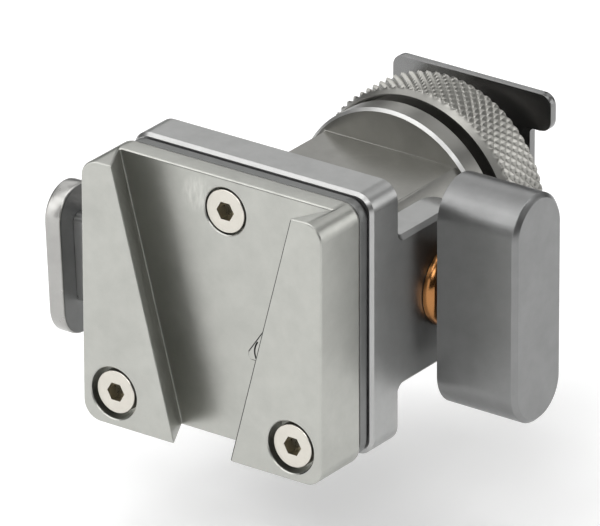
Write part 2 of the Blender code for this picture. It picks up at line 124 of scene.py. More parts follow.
def rounded_rectangle(half_u, half_v, corner, centre=(0.0, 0.0), count=10):
    """Outline of a rectangle with round corners."""
    u, v = half_u - corner, half_v - corner
    points = []
    for sign_u, sign_v, first in ((1, 1, 0), (-1, 1, 90), (-1, -1, 180), (1, -1, 270)):
        points += arc((centre[0] + sign_u * u, centre[1] + sign_v * v), corner, first, first + 90, count)
    return points


def stadium(radius, half_span, centre=(0.0, 0.0), count=32):
    """Outline of a slot shape that stands along v."""
    top = arc((centre[0], centre[1] + half_span), radius, 0, 180, count)
    low = arc((centre[0], centre[1] - half_span), radius, 180, 360, count)
    return top + low


def soften(obj, width, segments=3, angle=35):
    """Round the sharp edges."""
    edge = obj.modifiers.new("edge", "BEVEL")
    edge.width = width
    edge.segments = segments
    edge.limit_method = "ANGLE"
    edge.angle_limit = math.radians(angle)
    edge.use_clamp_overlap = False
    return obj


def plate(name, outline, axis, start, end, edge=0.0, segments=3, far_edge=0.0):
    """An outline extruded along X (outline in Y, Z) or along Y (outline in X, Z).

    edge rounds both ends, and far_edge only the far one.
    """
    curve = bpy.data.curves.new(name, "CURVE")
    curve.dimensions = "2D"
    curve.fill_mode = "BOTH"
    curve.extrude = (end - start) / 2
    spline = curve.splines.new("POLY")
    spline.points.add(len(outline) - 1)
    for point, (u, v) in zip(spline.points, outline):
        point.co = (round(u, 4), round(v, 4), 0.0, 1.0)
    spline.use_cyclic_u = True
    draft = link(name + "_draft", curve)
    bpy.context.view_layer.update()
    mesh = bpy.data.meshes.new_from_object(draft.evaluated_get(bpy.context.evaluated_depsgraph_get()))
    bpy.data.objects.remove(draft, do_unlink=True)
    shape = bmesh.new()
    shape.from_mesh(mesh)
    bmesh.ops.remove_doubles(shape, verts=shape.verts, dist=MERGE)
    caps = [f for f in shape.faces if abs(f.normal.z) > 0.5]
    bmesh.ops.dissolve_faces(shape, faces=caps)
    bmesh.ops.transform(shape, matrix=LAY[axis], verts=shape.verts)
    middle = (start + end) / 2
    offset = (middle, 0, 0) if axis == "X" else (0, middle, 0)
    bmesh.ops.translate(shape, vec=offset, verts=shape.verts)
    bmesh.ops.recalc_face_normals(shape, faces=shape.faces)
    shape.to_mesh(mesh)
    shape.free()
    obj = link(name, mesh)
    if edge:
        soften(obj, edge, segments)
    if far_edge:
        across = 0 if axis == "X" else 1
        far = [all(abs(mesh.vertices[v].co[across] - end) < MERGE for v in e.vertices) for e in mesh.edges]
        weights = mesh.attributes.new("bevel_weight_edge", "FLOAT", "EDGE")
        weights.data.foreach_set("value", [float(flag) for flag in far])
        soften(obj, far_edge, segments).modifiers["edge"].limit_method = "WEIGHT"
    return obj


def box(name, low, high):
    """A box between two corners."""
    mesh = bpy.data.meshes.new(name)
    shape = bmesh.new()
    bmesh.ops.create_cube(shape, size=1.0)
    bmesh.ops.scale(shape, vec=[b - a for a, b in zip(low, high)], verts=shape.verts)
    bmesh.ops.translate(shape, vec=[(a + b) / 2 for a, b in zip(low, high)], verts=shape.verts)
    shape.to_mesh(mesh)
    shape.free()
    return link(name, mesh)


def shell(name, points, faces):
    """A closed mesh from its points and faces, with its normals outwards."""
    mesh = bpy.data.meshes.new(name)
    mesh.from_pydata(points, [], faces)
    shape = bmesh.new()
    shape.from_mesh(mesh)
    bmesh.ops.recalc_face_normals(shape, faces=shape.faces)
    shape.to_mesh(mesh)
    shape.free()
    return link(name, mesh)


def turned(name, profile, axis, centre, ring=False, steps=FINE):
    """A solid of revolution from (radius, station) pairs, listed from the far end back."""
    mesh = bpy.data.meshes.new(name)
    edges = [(i, i + 1) for i in range(len(profile) - 1)]
    if ring:
        edges.append((len(profile) - 1, 0))
    mesh.from_pydata([(radius, 0.0, station) for radius, station in profile], edges, [])
    obj = link(name, mesh)
    spin = obj.modifiers.new("turn", "SCREW")
    spin.steps = spin.render_steps = steps
    spin.use_merge_vertices = True
    spin.merge_threshold = MERGE
    obj.matrix_world = Matrix.Translation(centre) @ STAND[axis]
    return obj


def rod(name, axis, centre, radius, start, end, steps=FINE):
    return turned(name, [(0, end), (radius, end), (radius, start), (0, start)], axis, centre, steps=steps)


def hex_key(name, axis, centre, across, start, end):
    """A hexagonal cutter for a key socket."""
    return rod(name, axis, centre, across / math.sqrt(3), start, end, steps=6)


def boolean(obj, tool, operation, solver="EXACT"):
    step = obj.modifiers.new(operation.lower(), "BOOLEAN")
    step.operation = operation
    step.solver = solver
    step.object = tool


def cut(obj, *tools):
    for tool in tools:
        boolean(obj, tool, "DIFFERENCE")
    return obj


def rounded(profile, size, count=3):
    """A turned profile with its inner corners replaced by small arcs of that size."""
    out = [profile[0]]
    for before, here, after in zip(profile, profile[1:], profile[2:]):
        mid = Vector(here)
        a, b = Vector(before) - mid, Vector(after) - mid
        reach = min(size, a.length * 0.45, b.length * 0.45)
        if reach < 0.01 or min(a.length, b.length) < 1e-6:
            out.append(here)
            continue
        start, end = mid + a.normalized() * reach, mid + b.normalized() * reach
        for i in range(count + 1):
            t = i / count
            point = start * (1 - t) ** 2 + mid * 2 * t * (1 - t) + end * t ** 2
            out.append((max(point.x, 0.0), point.y))
    out.append(profile[-1])
    return out


def show(obj, node, look, pivot=PAN, smooth=35, trim=None, where=None):
    """Bake a piece, bring it to metres about its pivot, and let it stand for its CAD node.

    trim is a second finish, for the faces whose middle and normal pass the test where().
    """
    bpy.context.view_layer.update()
    mesh = bpy.data.meshes.new_from_object(obj.evaluated_get(bpy.context.evaluated_depsgraph_get()))
    mesh.transform(obj.matrix_world)
    mesh.materials.clear()
    mesh.materials.append(look)
    if trim:
        mesh.materials.append(trim)
        for face in mesh.polygons:
            face.material_index = int(where(face.center, face.normal))
    mesh.transform(Matrix.Scale(TO_METRES, 4) @ Matrix.Translation(-Vector(pivot)))
    for step in obj.modifiers:
        if step.type == "BOOLEAN":
            bpy.data.objects.remove(step.object, do_unlink=True)
    bpy.data.objects.remove(obj, do_unlink=True)
    piece = link(node + "_piece", mesh)
    piece.location = Vector(pivot) * TO_METRES
    mesh.shade_smooth()
    mesh.set_sharp_from_angle(angle=math.radians(smooth))
    weights = piece.modifiers.new("flat_faces", "WEIGHTED_NORMAL")
    weights.keep_sharp = True
    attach(piece, BODY_OF[node])
    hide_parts(node)
    return piece


# -------------------------------------------------------------- materials

def look(name, colour, roughness, metallic=1.0, mottle=0.06, grain=0.12, dimple=0.004,
         rough_spread=0.06, turning=None, brush=None, scuff=None):
    """A procedural finish. Sizes are in millimetres.

    grain and dimple are the size and depth of the blasted surface, turning is the
    (axis, pitch, depth) of lathe marks about the object's origin, and brush is the
    (stretch, size, depth) of straight marks. scuff is the (middle, reach) of a patch
    rubbed brighter, with a streaky edge.
    """
    made = bpy.data.materials.new(name)
    made.use_nodes = True
    nodes, links = made.node_tree.nodes, made.node_tree.links
    shader = nodes["Principled BSDF"]
    shader.inputs["Metallic"].default_value = metallic
    place = nodes.new("ShaderNodeTexCoord").outputs["Object"]

    def noise(size, detail=2.0, source=place, rough=0.5):
        node = nodes.new("ShaderNodeTexNoise")
        node.inputs["Scale"].default_value = 1 / (size * TO_METRES)
        node.inputs["Detail"].default_value = detail
        node.inputs["Roughness"].default_value = rough
        links.new(source, node.inputs["Vector"])
        return node.outputs["Fac"]

    def remap(value, low, high, from_low=0.3, from_high=0.7):
        node = nodes.new("ShaderNodeMapRange")
        node.inputs["From Min"].default_value = from_low
        node.inputs["From Max"].default_value = from_high
        node.inputs["To Min"].default_value = low
        node.inputs["To Max"].default_value = high
        links.new(value, node.inputs["Value"])
        return node.outputs["Result"]

    tint = nodes.new("ShaderNodeMix")
    tint.data_type = "RGBA"
    darker = [c * (1 - mottle) for c in colour]
    lighter = [min(c * (1 + mottle), 1) for c in colour]
    tint.inputs["A"].default_value = (*darker, 1)
    tint.inputs["B"].default_value = (*lighter, 1)
    links.new(remap(noise(2.6, 5.0, rough=0.65), 0, 1), tint.inputs["Factor"])
    tone = tint.outputs["Result"]
    if scuff:
        middle, reach = scuff
        patch = nodes.new("ShaderNodeMapping")
        patch.inputs["Scale"].default_value = [1 / (r * TO_METRES) for r in reach]
        patch.inputs["Location"].default_value = [-m / r for m, r in zip(middle, reach)]
        links.new(place, patch.inputs["Vector"])
        far = nodes.new("ShaderNodeVectorMath")
        far.operation = "LENGTH"
        links.new(patch.outputs["Vector"], far.inputs[0])
        streaks = nodes.new("ShaderNodeMapping")
        streaks.inputs["Rotation"].default_value = (0, math.radians(24), 0)
        streaks.inputs["Scale"].default_value = (1, 1, 0.22)
        links.new(place, streaks.inputs["Vector"])
        rubbed = nodes.new("ShaderNodeMath")
        rubbed.operation = "MULTIPLY"
        streak = noise(0.32, 4.0, streaks.outputs["Vector"], 0.7)
        links.new(remap(far.outputs["Value"], 1, 0, 0.5, 1.0), rubbed.inputs[0])
        links.new(remap(streak, 0.1, 1, 0.35, 0.65), rubbed.inputs[1])
        polish = nodes.new("ShaderNodeMix")
        polish.data_type = "RGBA"
        polish.inputs["B"].default_value = (*[min(c * 1.3, 1) for c in colour], 1)
        links.new(rubbed.outputs["Value"], polish.inputs["Factor"])
        links.new(tone, polish.inputs["A"])
        tone = polish.outputs["Result"]
    links.new(tone, shader.inputs["Base Color"])
    links.new(
        remap(noise(1.1, 4.0), roughness - rough_spread / 2, roughness + rough_spread / 2),
        shader.inputs["Roughness"],
    )

    def bump(height, depth, below=None):
        node = nodes.new("ShaderNodeBump")
        node.inputs["Strength"].default_value = 1.0
        node.inputs["Distance"].default_value = depth * TO_METRES
        links.new(height, node.inputs["Height"])
        if below:
            links.new(below, node.inputs["Normal"])
        return node.outputs["Normal"]

    normal = bump(noise(grain, 3.0), dimple) if dimple else None
    if turning:
        axis, pitch, depth = turning
        flat = nodes.new("ShaderNodeVectorMath")
        flat.operation = "MULTIPLY"
        flat.inputs[1].default_value = (0, 1, 1) if axis == "X" else (1, 0, 1)
        links.new(place, flat.inputs[0])
        radius = nodes.new("ShaderNodeVectorMath")
        radius.operation = "LENGTH"
        links.new(flat.outputs["Vector"], radius.inputs[0])
        rings = nodes.new("ShaderNodeTexNoise")
        rings.noise_dimensions = "1D"
        rings.inputs["Scale"].default_value = 1 / (pitch * TO_METRES)
        rings.inputs["Detail"].default_value = 2.0
        links.new(radius.outputs["Value"], rings.inputs["W"])
        normal = bump(rings.outputs["Fac"], depth, normal)
    if brush:
        stretch, size, depth = brush
        lay = nodes.new("ShaderNodeMapping")
        lay.inputs["Scale"].default_value = stretch
        links.new(place, lay.inputs["Vector"])
        normal = bump(noise(size, 3.0, lay.outputs["Vector"]), depth, normal)
    if normal:
        links.new(normal, shader.inputs["Normal"])
    return made


BODY = look("body_satin", (0.385, 0.387, 0.382), 0.36)
LEVER = look("lever_satin", (0.232, 0.234, 0.233), 0.36, brush=((1, 1, 0.05), 0.14, 0.001))
PLATE = look(
    "plate_satin", (0.427, 0.43, 0.402), 0.36, brush=((1, 1, 0.06), 0.16, 0.0012),
    scuff=((-3.2, -41.24, 11.3), (2.0, 1.0, 2.1)),
)
NECK = look("neck_satin", (0.265, 0.262, 0.245), 0.34)
WHEEL = look("wheel_satin", (0.34, 0.335, 0.313), 0.38)
FOOT = look("foot_steel", (0.215, 0.216, 0.214), 0.24, brush=((1, 1, 0.04), 0.12, 0.001))
SCREW = look("screw_steel", (0.6, 0.576, 0.52), 0.3, turning=("Y", 0.07, 0.0016), dimple=0.001)
SIDE_SCREW = look("side_screw_steel", (0.68, 0.64, 0.61), 0.3, turning=("X", 0.07, 0.0016), dimple=0.001)
BRONZE = look("polished_bronze", (0.36, 0.165, 0.06), 0.2, turning=("X", 0.09, 0.0012), dimple=0.0)
TURNED_Y = look("turned_steel", (0.6, 0.58, 0.56), 0.3, turning=("Y", 0.09, 0.0018), dimple=0.0)
GASKET = look("black_gasket", (0.045, 0.045, 0.046), 0.5, metallic=0.0, mottle=0.3, dimple=0.01)
COVER = look("cover_grey", (0.2, 0.203, 0.2), 0.42)
# Painted highlight: a lighter finish on the flange's front chamfer, standing in for the light it catches.
CHAMFER_HIGHLIGHT = look("painted_chamfer_highlight", (0.4, 0.4, 0.395), 0.34, mottle=0.03, dimple=0.002)
# Painted highlight: a much lighter finish on the disc's front edge, standing in for the bright line of light
# along it.
DISC_EDGE_HIGHLIGHT = look("painted_edge_highlight", (0.52, 0.52, 0.51), 0.4, mottle=0.03, dimple=0.002)
BUTTON = look("button_satin", (0.38, 0.376, 0.363), 0.3)
# Painted shade: a near-black finish for the narrow edge breaks and the catch's outline, standing in for the
# shade along those edges.
SHADE_LINE = look("painted_shade_edge", (0.06, 0.062, 0.06), 0.5, mottle=0.2)
# Painted shade: a darker finish inside the hex sockets, standing in for the shade in the recess.
SOCKET_SHADE = look("socket_painted_shade", (0.42, 0.39, 0.32), 0.28, mottle=0.25)
PLASTIC = look("acetal", (0.3, 0.3, 0.29), 0.45, metallic=0.0)
SLIDER = look("slider_steel", (0.5, 0.5, 0.5), 0.3, brush=((0.04, 1, 1), 0.1, 0.0015))


# ------------------------------------------------------------ wedge plate

SCREW_NODES = {"top": "plate_screw_top", "left": "plate_screw_left", "right": "plate_screw_right"}
SLOT_HALF_MID, SLOT_TAPER, SLOT_UNDERCUT = 6.76, 0.264, 2.0
SLOT_FLOOR = -41.24
CATCH_LOW, CATCH_HIGH = extent("latch_catch")
LATCH_TRAVEL = 2.5

# Key sockets, across their flats
PLATE_KEY, BUTTON_KEY, BOLT_KEY, STUD_KEY = 1.75, 1.3, 3.0, 2.0


def screw_place(node):
    """A plate screw's centre on its axis, its front and its head's radius."""
    low, high = extent(node)
    return ((low.x + high.x) / 2, 0.0, (low.z + high.z) / 2), low.y, (high.x - low.x) / 2


def dovetail(name, past=2.0):
    """The wedge slot: wide at the top, narrow at the bottom, its floor wider than its mouth."""
    front = PLATE_LOW.y
    lean_out = SLOT_UNDERCUT / (SLOT_FLOOR - front)
    obj = box(name, (-1, -1, -1), (1, 1, 1))
    for vertex in obj.data.vertices:
        height = math.copysign(HALF_HEIGHT + past, vertex.co.z)
        y = SLOT_FLOOR if vertex.co.y > 0 else front - past
        half = SLOT_HALF_MID + SLOT_TAPER * height + lean_out * (y - front)
        vertex.co = (math.copysign(half, vertex.co.x), y, HEAD_Z + height)
    return obj


def catch_outline(gap=0.0, travel=0.0):
    """The catch seen from the front: a ramp at the upper left, over a round toe."""
    ramp_top, tip_z, toe = 6.3, -1.95, 0.45
    outline = [(ramp_top - gap / 2, CATCH_HIGH.z + gap), (CATCH_LOW.x - gap, tip_z)]
    outline += arc((CATCH_LOW.x + toe, CATCH_LOW.z + toe), toe + gap, 180, 270, 10)
    right = CATCH_HIGH.x + gap + travel
    return outline + [(right, CATCH_LOW.z - gap), (right, CATCH_HIGH.z + gap)]


def catch_window(name):
    outline = catch_outline(0.12, LATCH_TRAVEL)
    return plate(name, outline, "Y", CATCH_LOW.y - 0.25, CLEVIS_LOW.y + 0.5)


def cheek_edge(name, width=0.2, depth=0.09):
    """The narrow break along the right cheek's inner edge, which is painted dark as shade."""
    front = PLATE_LOW.y
    section = [(-width, -depth), (2 * width, -depth), (-width, 2 * depth)]
    points = []
    for height in (-HALF_HEIGHT - 1, HALF_HEIGHT + 1):
        edge = SLOT_HALF_MID + SLOT_TAPER * height
        points += [(edge + u, front + v, HEAD_Z + height) for u, v in section]
    return shell(name, points, [(0, 1, 2), (5, 4, 3), (0, 3, 4, 1), (1, 4, 5, 2), (2, 5, 3, 0)])


def make_wedge_plate():
    outline = rounded_rectangle(HALF_WIDTH, HALF_HEIGHT, HEAD_CORNER, (0, HEAD_Z))
    blank = plate("wedge_plate_blank", outline, "Y", PLATE_LOW.y, PLATE_HIGH.y, far_edge=0.6)
    cut(blank, dovetail("slot_tool"))
    soften(blank, 0.2, 3)
    cut(blank, cheek_edge("cheek_edge_tool"), catch_window("window_tool"))
    for place, node in SCREW_NODES.items():
        centre, front, _ = screw_place(node)
        mouth, radius = (SLOT_FLOOR, 2.38) if place == "top" else (PLATE_LOW.y, 2.65)
        lip = 0.1
        profile = [
            (0, -37), (1.3, -37), (1.3, front + 1.6), (radius, front + 1.6),
            (radius, mouth + lip), (radius + lip + 0.5, mouth - 0.5), (0, mouth - 0.5),
        ]
        cut(blank, turned(f"seat_{place}", profile, "Y", centre))

    # The faces of the cheek's edge break get the painted shade line.
    def on_cheek_edge(middle, normal):
        return middle.x > 0 and middle.y < PLATE_LOW.y + 0.2 and -0.7 < normal.x < -0.25 and normal.y < -0.7

    return show(blank, "wedge_plate", PLATE, trim=SHADE_LINE, where=on_cheek_edge)


def make_plate_screws():
    for node in SCREW_NODES.values():
        centre, front, radius = screw_place(node)
        end = extent(node)[1].y
        profile = rounded(
            [
                (0, end), (1.2, end), (1.2, front + 1.5), (radius, front + 1.5),
                (radius, front), (0, front),
            ],
            0.13,
        )
        screw = turned(node + "_blank", profile, "Y", centre)
        cut(screw, hex_key(node + "_key", "Y", centre, PLATE_KEY, front - 1, front + 1.2))

        # The socket's walls get the painted shade.
        def in_socket(middle, normal):
            off_axis = math.hypot(middle.x - centre[0], middle.z - centre[2])
            return off_axis < 0.6 * PLATE_KEY and front + 0.02 < middle.y < front + 1.3

        show(screw, node, SCREW, (centre[0], front, centre[2]), 25, SOCKET_SHADE, in_socket)


def make_layers():
    for node, material in (("latch_cover", COVER), ("plate_gasket", GASKET)):
        low, high = extent(node)
        half_u, half_v = high.x, (high.z - low.z) / 2
        outline = rounded_rectangle(half_u, half_v, HEAD_CORNER, (0, HEAD_Z))
        layer = plate(node + "_blank", outline, "Y", low.y, high.y, 0.08, 2)
        cut(layer, catch_window(node + "_window"))
        for screw in SCREW_NODES.values():
            cut(layer, rod(f"{node}_{screw}", "Y", screw_place(screw)[0], 1.4, low.y - 1, high.y + 1, 48))
        show(layer, node, material)


# ---------------------------------------------------------- tilting head

ARM_INNER, ARM_HALF_HEIGHT = 9.93, 7.7
FLANGE_BACK = -32.55
LATCH_Z = -1.93
SLIDER_Y, BUTTON_Y, BUTTON_Z = -35.0, -35.32, -2.28
LATCH_LEAN = math.radians(3.5)


def make_head_clevis():
    outline = rounded_rectangle(CLEVIS_HIGH.x, HALF_HEIGHT, HEAD_CORNER, (0, HEAD_Z))
    flange = plate("clevis_blank", outline, "Y", CLEVIS_LOW.y, FLANGE_BACK, 0.32, 1)
    fillet, overlap = 0.8, 1.0
    top, low = HEAD_Z + ARM_HALF_HEIGHT, HEAD_Z - ARM_HALF_HEIGHT
    arm = [(FLANGE_BACK - overlap, low - fillet), (FLANGE_BACK, low - fillet)]
    arm += arc((FLANGE_BACK + fillet, low - fillet), fillet, 180, 90, 8)
    arm += arc((TILT_Y, HEAD_Z), ARM_HALF_HEIGHT, -90, 90, 56)
    arm += arc((FLANGE_BACK + fillet, top + fillet), fillet, 270, 180, 8)
    arm.append((FLANGE_BACK - overlap, top + fillet))
    for side in (-1, 1):
        ends = sorted((side * ARM_INNER, side * (CLEVIS_HIGH.x - 0.01)))
        boolean(flange, plate(f"arm_{side}", arm, "X", *ends, 0.42, 1), "UNION")
    bore = [
        (0, 20), (2.05, 20), (2.05, -11.6), (3.6, -11.6), (3.6, -13.78), (4.1, -14.3), (0, -14.3),
    ]
    channel = box(
        "channel", (-20, CLEVIS_LOW.y - 1, LATCH_Z - 5.1), (12.5, SLIDER_Y + 1.85, LATCH_Z + 5.1),
    )
    cut(flange, turned("bolt_bore", bore, "X", TILT), channel)
    for node in SCREW_NODES.values():
        cut(flange, rod("flange_" + node, "Y", screw_place(node)[0], 1.25, PLATE_LOW.y - 1, -33.3, 40))

    # The front chamfer's faces get the painted highlight.
    def on_front_edge(middle, normal):
        return middle.y < CLEVIS_LOW.y + 0.32 and -0.9 < normal.y < -0.5

    return show(flange, "head_clevis", BODY, trim=CHAMFER_HIGHLIGHT, where=on_front_edge)


# ------------------------------------------------------------ swivel neck

def make_swivel_neck():
    disc_back, disc_front = NECK_HIGH.y, -14.5
    radius, neck_radius, tongue, half = NECK_HIGH.x, 10.35, 6.55, 9.55
    front, reach, edge = TILT_Y - tongue - 1, 14, 0.3
    back = 0.2
    profile = [
        (0, disc_back), (radius - back, disc_back), (radius, disc_back - back), (radius, disc_front + edge),
        (radius - edge, disc_front), (neck_radius, disc_front), (neck_radius, front), (0, front),
    ]
    blank = turned("neck_blank", profile, "Y", PAN, steps=200)
    top, low = TILT_Z + tongue, TILT_Z - tongue
    outline = [(0.0, -reach), (0.0, reach), (disc_front, reach), (disc_front, top)]
    outline += arc((TILT_Y, TILT_Z), tongue, 90, 270, 64)
    outline += [(disc_front, low), (disc_front, -reach)]
    boolean(blank, plate("neck_outline", outline, "X", -reach, reach), "INTERSECT")
    for sign in (-1, 1):
        edges = sorted((sign * half, sign * reach))
        cut(blank, box(f"neck_side_{sign}", (edges[0], -40, -reach), (edges[1], disc_front, reach)))
    soften(blank, 0.08, 2, 50)
    stud = [(0, 1), (2.55, 1), (2.55, -18.2), (3.4, -18.2), (3.4, -36), (0, -36)]
    cut(blank, rod("tilt_bore", "X", TILT, 3.2, -reach, reach), turned("stud_bore", stud, "Y", PAN))

    # The disc's front edge faces get the painted highlight.
    def on_disc_edge(middle, normal):
        return math.hypot(middle.x, middle.z) > radius - edge and -0.98 < normal.y < -0.2

    return show(blank, "swivel_neck", NECK, trim=DISC_EDGE_HIGHLIGHT, where=on_disc_edge)


# --------------------------------------------------------- lock wheel

KNURLS, KNURL_STEPS, KNURL_DEPTH = 70, 8, 0.38


def make_lock_wheel():
    """The wheel with its diamond knurl cut into the band, and into the edge of the front bevel."""
    radius, back, lip_y = WHEEL_HIGH.x, WHEEL_HIGH.y, WHEEL_LOW.y
    knurl_y, lip, root = -10.05, 11.2, 11.5
    pitch = 2 * math.pi * radius / KNURLS
    columns = KNURLS * KNURL_STEPS
    row = pitch / KNURL_STEPS

    def envelope(y):
        if y < knurl_y:
            return lip + (root - lip) * (y - lip_y) / (knurl_y - lip_y)
        return min(root + 1.6 * (y - knurl_y), radius - max(0.0, 0.22 - (back - y)))

    def height(u, y):
        one, two = (u + y) / pitch, (u - y) / pitch
        ridge = min(1 - abs(2 * (one % 1) - 1), 1 - abs(2 * (two % 1) - 1))
        return min(ridge * 1.15, 1.0) ** 1.15

    bore, hub, face_y, lip_edge = 3.05, 4.2, -9.2, 0.12
    inner_front = [
        (hub, face_y + 0.2), (hub, face_y), (lip - 0.62, face_y), (lip - 0.26, lip_y), (lip, lip_y),
    ]
    inner_front = [(bore, face_y + 0.2)] + rounded(inner_front, lip_edge)
    inner_back = [(radius - 0.6, back), (bore, back)]
    band = [lip_y + 0.02 + i * row for i in range(int((back - lip_y - 0.04) / row) + 1)] + [back - 0.01]
    turns = [2 * math.pi * i / columns for i in range(columns)]
    points = []
    for r, y in inner_front:
        points += [(r * math.cos(a), y, r * math.sin(a)) for a in turns]
    for y in band:
        for i, a in enumerate(turns):
            r = min(envelope(y), radius - KNURL_DEPTH * (1 - height(i * row, y)))
            points.append((r * math.cos(a), y, r * math.sin(a)))
    for r, y in inner_back:
        points += [(r * math.cos(a), y, r * math.sin(a)) for a in turns]
    total = len(inner_front) + len(band) + len(inner_back)
    faces = []
    for j in range(total):
        k = (j + 1) % total
        for i in range(columns):
            n = (i + 1) % columns
            faces.append((j * columns + i, j * columns + n, k * columns + n, k * columns + i))
    return show(shell("lock_wheel_blank", points, faces), "lock_wheel", WHEEL, smooth=40)


# ------------------------------------------------------------- shoe foot

def make_shoe_foot():
    corner, root, waist, ear = 1.2, 0.5, 6.87, 3.85
    half_u, half_v, thick = FOOT_HIGH.x, FOOT_HIGH.z, 0.9
    step_z = half_v - ear
    quarter = arc((waist + root, step_z - root), root, 180, 90, 8)
    quarter += arc((half_u - corner, step_z + corner), corner, 270, 360, 10)
    quarter += arc((half_u - corner, half_v - corner), corner, 0, 90, 10)
    mirrored = [(-u, v) for u, v in reversed(quarter)]
    outline = quarter + mirrored + [(-u, -v) for u, v in quarter] + [(u, -v) for u, v in reversed(quarter)]
    foot = plate("foot_blank", outline, "Y", -thick, 0.0, 0.07, 2)
    stud_r, journal, end, tap, shoulder = 3.0, 2.5, FOOT_LOW.y, 1.2, -10.65
    stud = turned(
        "stud_blank",
        [
            (0, -0.3), (stud_r, -0.3), (stud_r, shoulder + 0.3), (stud_r - 0.3, shoulder),
            (journal, shoulder), (journal, end), (tap, end), (tap, -13.8), (0, -13.8),
        ],
        "Y", PAN,
    )
    boolean(foot, stud, "UNION", solver="MANIFOLD")
    return show(foot, "shoe_foot", FOOT)


# --------------------------------------------------- tilt lever and button

def make_tilt_lever():
    half_width = (LEVER_HIGH.y - LEVER_LOW.y) / 2
    half_span = (LEVER_HIGH.z - LEVER_LOW.z) / 2 - half_width
    outline = stadium(half_width, half_span, (TILT_Y, TILT_Z), 40)
    lever = plate("lever_blank", outline, "X", LEVER_LOW.x, LEVER_HIGH.x, segments=1, far_edge=0.45)
    soften(lever, 0.06, 2)
    cut(lever, rod("insert_bore", "X", TILT, 3.0, LEVER_LOW.x - 1, 21.2))
    return show(lever, "tilt_lever", LEVER)


def lean(obj):
    """Turn a latch piece by the latch's lean, about X through the button's centre."""
    bpy.context.view_layer.update()
    pivot = Vector((0, BUTTON_Y, LATCH_Z))
    turn = Matrix.Translation(pivot) @ Matrix.Rotation(LATCH_LEAN, 4, "X") @ Matrix.Translation(-pivot)
    obj.matrix_world = turn @ obj.matrix_world
    return obj


def make_button():
    outer, inner = -23.2, -21.35
    outline = stadium(3.2, 4.7, (BUTTON_Y, BUTTON_Z), 40)
    button = plate("button_blank", outline, "X", outer, inner, 0.26, 3)
    centre = (0.0, SLIDER_Y, LATCH_Z)
    recess = [
        (0, inner + 1), (0.95, inner + 1), (0.95, outer + 1.0), (1.75, outer + 1.0),
        (1.75, outer + 0.12), (2.2, outer - 0.33), (0, outer - 0.33),
    ]
    cut(button, turned("button_recess", recess, "X", centre))
    # The button's inner face, which faces the body across a narrow gap, takes the darker cover grey as
    # painted shade.
    show(lean(button), "release_button", BUTTON, trim=COVER, where=lambda middle, normal: normal.x > 0.9)
    front = outer + 0.1
    screw = turned(
        "button_screw_blank",
        rounded([
            (0, -18.0), (0.85, -18.0), (0.85, outer + 0.93), (1.65, outer + 0.93), (1.65, front), (0, front),
        ], 0.1),
        "X", centre, steps=64,
    )
    cut(screw, hex_key("button_key", "X", centre, BUTTON_KEY, front - 1, front + 0.5))
    show(lean(screw), "button_screw", SIDE_SCREW, centre, smooth=25)


def make_slider():
    low, high = extent("latch_slider")
    outline = rounded_rectangle(1.4, 4.7, 0.8, (SLIDER_Y, LATCH_Z), 8)
    slider = plate("slider_blank", outline, "X", low.x - 0.05, high.x, 0.05, 2)
    cut(slider, rod("slider_tap", "X", (0, SLIDER_Y, LATCH_Z), 0.9, -23, -17.6, 40))
    show(lean(slider), "latch_slider", SLIDER)


def make_catch():
    catch = plate("catch_blank", catch_outline(), "Y", CATCH_LOW.y, CATCH_HIGH.y, 0.15, 1)
    centre, radius, width = (6.9, -1.75), 1.68, 0.085
    groove = arc(centre, radius + width, 142, 206, 12) + arc(centre, radius - width, 206, 142, 12)
    cut(catch, plate("catch_groove", groove, "Y", CATCH_LOW.y - 1, CATCH_LOW.y + 0.7))

    # Every face of the catch but its front, the groove's walls included, gets painted shade: a dark outline
    # standing in for the shade round it.
    def on_edge(middle, normal):
        return middle.y > CATCH_LOW.y + 0.01 and normal.y < 0.9

    show(catch, "latch_catch", PLATE, trim=SHADE_LINE, where=on_edge)


# ------------------------------------------------- turned washers and bolt

